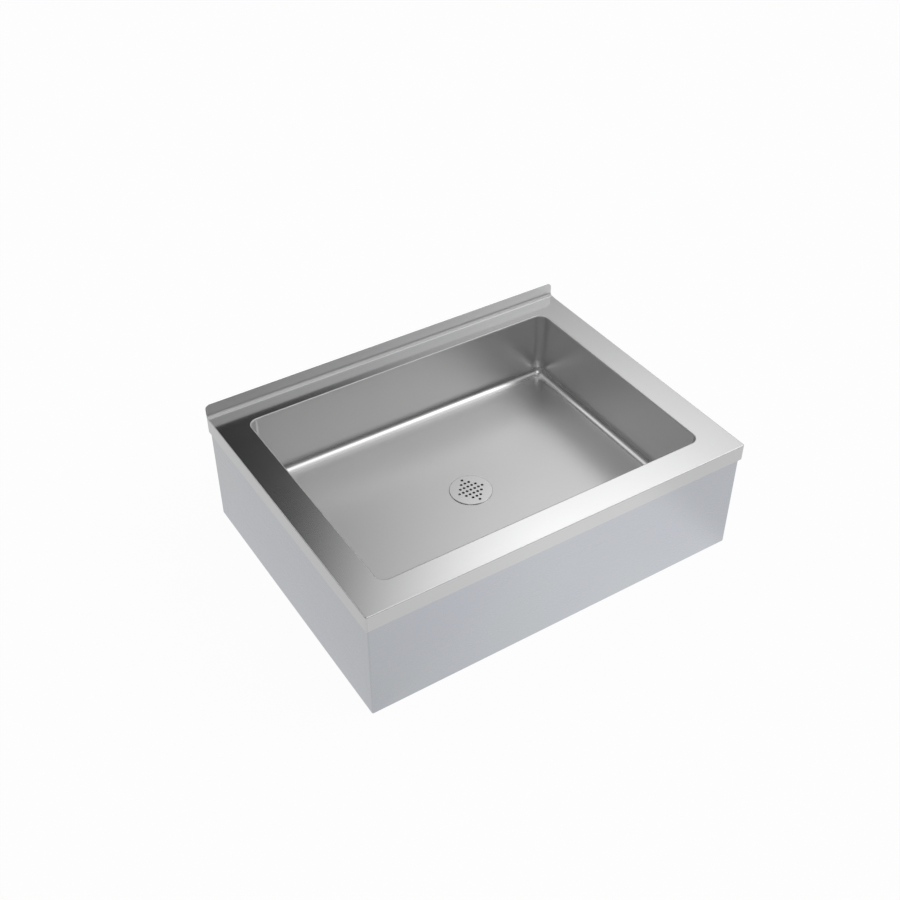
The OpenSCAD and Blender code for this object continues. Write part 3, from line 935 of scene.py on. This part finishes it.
def make_drain():
    """Outlet body with its two outside threads."""
    flange_r, flange_low, top = DRAIN_FLANGE
    cup_in, cup_out, cup_low = DRAIN_CUP
    in_r, out_r, low = DRAIN_SPIGOT
    step = cup_low + DRAIN_STEP
    outline = [(cup_in, top), (cup_in, step), (in_r, step), (in_r, low)]
    outline += fine_side(out_r, low, cup_low, DRAIN_PITCH)
    outline += fine_side(cup_out, cup_low, flange_low, DRAIN_PITCH)
    outline += [(flange_r, flange_low), (flange_r, top)]
    bm = bmesh.new()
    closed_ring(bm, outline, OUTLET, TURNED_SIDES)
    close_up(bm)
    drain = piece_from(bm, "threaded_outlet")
    for r, start, end in ((cup_out, cup_low, flange_low - CUP_PLAIN),
                          (out_r, low, cup_low - SPIGOT_PLAIN)):
        run_tree(drain, THREAD, Centre_X=0.0, Centre_Y=BOWL_Y, Crest_Radius=r,
                 Low=start + THREAD_START, High=end, Pitch=DRAIN_PITCH,
                 Depth=DRAIN_THREAD, Finish=FINISH["outlet_steel"])
    smooth(drain, PART_SHARP)
    finish_piece(drain, "outlet_steel", "sink", "drain_body")


# ---- Feet ----

def hexagon(bm, centre, flats, low, high):
    """Six-sided collar with its corners turned off at both ends."""
    round_r = flats / 2 * COLLAR_ROUND
    heights = ((low, round_r), (low + COLLAR_EDGE, math.inf),
               (high - COLLAR_EDGE, math.inf), (high, round_r))
    rows = []
    for z, limit in heights:
        row = []
        for a in around(COLLAR_SIDES):
            off = (math.degrees(a) % 60) - 30
            r = min(flats / 2 / math.cos(math.radians(off)), limit)
            row += circle(centre, r, z, [a])
        rows.append(row)
    verts = add_grid(bm, rows, closed=True)
    bm.faces.new(verts[0][::-1])
    bm.faces.new(verts[-1])


def make_stud(corner, x, y):
    """Levelling stud: ball end, spanner collar and M10 thread."""
    swivel_r, swivel_z = SWIVEL
    low, high = COLLAR
    neck = swivel_r * SWIVEL_NECK
    core = [(0, swivel_z)]
    core += arc(0, swivel_z + swivel_r, swivel_r, -75, 0, 8)
    core += [(neck, low), (neck, high), (STUD_R, high)]
    core += fine_side(STUD_R, high + THREAD_START, STUD_TOP - STUD_TIP, STUD_PITCH)
    core += [(STUD_R - STUD_TIP, STUD_TOP), (0, STUD_TOP)]
    bm = bmesh.new()
    add_grid(bm, [circle((x, y), r, z, around(STUD_SIDES)) for r, z in core],
             closed=True)
    merge(bm, TURNED_GAP)
    hexagon(bm, (x, y), COLLAR_FLATS, low, high)
    bmesh.ops.recalc_face_normals(bm, faces=bm.faces)
    stud = piece_from(bm, "levelling_stud_" + corner)
    run_tree(stud, THREAD, Centre_X=x, Centre_Y=y, Crest_Radius=STUD_R,
             Low=high + 2 * THREAD_START, High=STUD_TOP - THREAD_START,
             Pitch=STUD_PITCH, Depth=STUD_THREAD, Finish=FINISH["zinc_steel"])
    smooth(stud, PART_SHARP)
    finish_piece(stud, "zinc_steel", "stud_" + corner, "foot_stud_" + corner)


def make_foot_pad(corner, x, y):
    """Moulded round pad with a rounded rim and the socket for the stud's ball."""
    base, hub = PAD_HEIGHTS
    socket_r, socket_z = PAD_SOCKET
    outline = [(CENTRE_R, socket_z), (socket_r, socket_z), (socket_r, hub),
               (PAD_HUB_R, hub), (PAD_HUB_R, base), (PAD_R, base), (PAD_R, 0),
               (CENTRE_R, 0)]
    bm = bmesh.new()
    closed_ring(bm, eased(outline, PAD_EDGE_R), (x, y), PAD_SIDES)
    close_up(bm)
    pad = piece_from(bm, "moulded_pad_" + corner)
    smooth(pad, PAD_SHARP)
    finish_piece(pad, "foot_plastic", "pad_" + corner, "foot_pad_" + corner)


def make_feet():
    for corner in CORNERS:
        x = -FEET_X if corner.endswith("left") else FEET_X
        y = FEET_Y[0] if corner.startswith("front") else FEET_Y[1]
        make_stud(corner, x, y)
        make_foot_pad(corner, x, y)


# ---- Other pieces ----

# Drawn again from their CAD shape, with this finish and this width of eased edge
EASED = {
    "drain_gasket": ("rubber", 0.0006),
    "friction_washer": ("fibre", 0.0003),
    "drain_locknut": ("zinc_steel", 0.0008),
    "tailpiece_washer": ("rubber", 0.0004),
    "tailpiece": ("outlet_steel", 0.0002),
    "coupling_nut": ("brass", 0.0007),
    "weld_nuts": ("zinc_steel", 0.0004),
    "bearer_left": ("galvanised_steel", 0.0004),
    "bearer_right": ("galvanised_steel", 0.0004),
    "sound_pad_front_left": ("damping_pad", 0.0005),
    "sound_pad_front_right": ("damping_pad", 0.0005),
    "sound_pad_rear_left": ("damping_pad", 0.0005),
    "sound_pad_rear_right": ("damping_pad", 0.0005),
    "corner_bracket_front_left": ("galvanised_steel", 0.0005),
    "corner_bracket_front_right": ("galvanised_steel", 0.0005),
    "corner_bracket_rear_left": ("galvanised_steel", 0.0005),
    "corner_bracket_rear_right": ("galvanised_steel", 0.0005),
}


def make_eased():
    for node, (slot, edge) in EASED.items():
        piece = copy_of(node, node + "_eased", edge)
        smooth(piece, PART_SHARP)
        finish_piece(piece, slot, "sink", node)


# ---- Stage ----

CAMERA_AT = (-1.057, -1.5755, 1.777)
CAMERA_WAY = (0.4144, 0.6492, -0.6378)
SENSOR = 36.0              # mm
LENS = 49.92               # mm


def make_camera():
    data = bpy.data.cameras.new("camera")
    camera = bpy.data.objects.new("camera", data)
    bpy.context.scene.collection.objects.link(camera)
    data.sensor_width = SENSOR
    data.lens = LENS
    data.clip_start = 0.05
    data.clip_end = 50.0
    camera.location = CAMERA_AT
    camera.rotation_mode = "QUATERNION"
    camera.rotation_quaternion = Vector(CAMERA_WAY).to_track_quat("-Z", "Y")
    bpy.context.scene.camera = camera


FLOOR_LEVEL = -0.0002      # just under what stands on it
FLOOR_HALF = (9, 9)
OPENING_HALF = (HALF_W - 0.012, HALF_D - 0.012)    # of the floor's opening
FLOOR_COLOUR = (0.86, 0.86, 0.87, 1)
FLOOR_GLOW = 0.96          # share of plain white in the floor as the camera sees it
PIPE_R = 0.05              # of the place under the outlet that lets no light in
# Painted light falloff on the floor as the steel sees it: how brightly it glows from one
# X to another, dimmer towards both ends: start, end, low, high
FLOOR_FALLOFF = ((-0.56, 0.20, 0.77, 1.0), (0.36, 0.46, 1.0, 0.84))


def rectangle(half_x, half_y):
    """Corners on the floor, anticlockwise."""
    return [(x, y, FLOOR_LEVEL) for x, y in ((-half_x, -half_y), (half_x, -half_y),
                                             (half_x, half_y), (-half_x, half_y))]


def floor_paint(n):
    paint = n.add("ShaderNodeBsdfDiffuse")
    paint.inputs["Color"].default_value = FLOOR_COLOUR
    return paint.outputs[0]


def floor_glow(n):
    """Plain white to the camera; in the steel, a glow with a painted light falloff, a
    little dimmer at both ends.
    """
    white = n.add("ShaderNodeEmission")
    x = parts_of(n, object_place(n))["X"]
    falloff_ramps = [map_range(n, x, *tone, interpolation_type="SMOOTHSTEP")
             for tone in FLOOR_FALLOFF]
    camera = n.add("ShaderNodeLightPath").outputs["Is Camera Ray"]
    n.join(n.math("MAXIMUM", n.math("MULTIPLY", *falloff_ramps), camera),
           white.inputs["Strength"])
    return white.outputs[0]


def mix_shaders(n, factor, first, second):
    node = n.add("ShaderNodeMixShader")
    for source, socket in zip((factor, first, second), node.inputs):
        n.join(source, socket)
    return node.outputs[0]


def make_floor():
    """A pale floor with an opening under the sink, seen from above only."""
    bm = bmesh.new()
    edges = add_loop(bm, rectangle(*FLOOR_HALF)) + add_loop(bm, rectangle(*OPENING_HALF))
    bmesh.ops.triangle_fill(bm, use_beauty=True, use_dissolve=False, edges=edges)
    face_up(bm)
    floor = piece_from(bm, "floor")
    material, n = new_material("studio floor")
    path = n.add("ShaderNodeLightPath").outputs
    seen = n.math("MAXIMUM", path["Is Camera Ray"], path["Is Glossy Ray"])
    share = n.math("MULTIPLY", seen, FLOOR_GLOW)
    lit = mix_shaders(n, share, floor_paint(n), floor_glow(n))
    back = n.add("ShaderNodeNewGeometry").outputs["Backfacing"]
    clear = n.add("ShaderNodeBsdfTransparent").outputs[0]
    show(n, mix_shaders(n, back, lit, clear))
    floor.data.materials.append(material)


def make_covered_floor():
    """The floor under the sink. The camera sees it; to light it is open."""
    bm = bmesh.new()
    bm.faces.new([bm.verts.new(p) for p in rectangle(*OPENING_HALF)])
    patch = piece_from(bm, "covered_floor")
    material, n = new_material("covered floor")
    camera = n.add("ShaderNodeLightPath").outputs["Is Camera Ray"]
    back = n.add("ShaderNodeNewGeometry").outputs["Backfacing"]
    # but under the outlet the floor stops light from above, as a waste pipe would
    away = n.add("ShaderNodeVectorMath", operation="DISTANCE")
    n.join(object_place(n), away.inputs[0])
    away.inputs[1].default_value = (*OUTLET, FLOOR_LEVEL)
    pipe = n.math("LESS_THAN", away.outputs["Value"], PIPE_R)
    solid = n.math("SUBTRACT", n.math("MAXIMUM", camera, pipe), back, clamp=True)
    clear = n.add("ShaderNodeBsdfTransparent").outputs[0]
    show(n, mix_shaders(n, solid, clear, floor_paint(n)))
    patch.data.materials.append(material)


# Soft boxes, and dark panels with a negative strength. Each: turn from +Y towards
# +X, height over the floor, half width, all in degrees; then the strength.
AMBIENT = 0.32
LOWEST = 0.25              # the surroundings are nowhere darker than this
DARK_CARD = (10, 37, 20, -0.235)   # but for one card behind the sink
SOFT_LIGHTS = (
    (0, 80, 45, 0.36),
    (0, 90, 24, 0.36),
    (-27, 39, 20, 2.40),
    (42, 47, 9.5, 1.55),
    (127, 45, 18.5, 2.24),
    (-75, 30, 45, -1.52),
    (221, 44, 13, 2.25),
    (-2, 40, 15.5, -2.30),
    (165, 16, 18, -1.96),
    (150, 42, 16, 0.20),
    (172, 40, 14, -0.35),
)


def soft_box(n, way, turn, height, width, strength):
    """A round light with a soft edge, half as strong at its half width."""
    a, e = math.radians(turn), math.radians(height)
    dot = n.add("ShaderNodeVectorMath", operation="DOT_PRODUCT")
    n.join(way, dot.inputs[0])
    dot.inputs[1].default_value = (math.sin(a) * math.cos(e),
                                   math.cos(a) * math.cos(e), math.sin(e))
    sharp = math.log(2) / (1 - math.cos(math.radians(width)))
    power = n.math("MULTIPLY", n.math("SUBTRACT", dot.outputs["Value"], 1.0), sharp)
    return n.math("MULTIPLY", n.math("EXPONENT", power), strength)


def make_world():
    """The studio's light. The camera itself sees plain white instead."""
    world = bpy.data.worlds.new("studio")
    bpy.context.scene.world = world
    world.use_nodes = True
    n = Nodes(world.node_tree)
    way = n.add("ShaderNodeTexCoord").outputs["Generated"]
    total = AMBIENT
    for light in SOFT_LIGHTS:
        total = n.math("ADD", soft_box(n, way, *light), total)
    lowest = n.math("ADD", soft_box(n, way, *DARK_CARD), LOWEST)
    total = n.math("MAXIMUM", total, lowest)
    path = n.add("ShaderNodeLightPath")
    light = n.add("ShaderNodeMix", data_type="FLOAT")
    n.join(path.outputs["Is Camera Ray"], light.inputs["Factor"])
    n.join(total, light.inputs["A"])
    light.inputs["B"].default_value = 1.0
    sky = n.add("ShaderNodeBackground")
    sky.inputs["Color"].default_value = (1, 1, 1, 1)
    n.join(light.outputs["Result"], sky.inputs["Strength"])
    out = n.add("ShaderNodeOutputWorld")
    n.join(sky.outputs[0], out.inputs["Surface"])


make_camera()
make_deck()
make_bowl()
make_skirts()
make_strainer()
make_drain()
make_feet()
make_eased()
make_floor()
make_covered_floor()
make_world()
bpy.context.scene.view_settings.view_transform = "Standard"
bpy.context.view_layer.update()
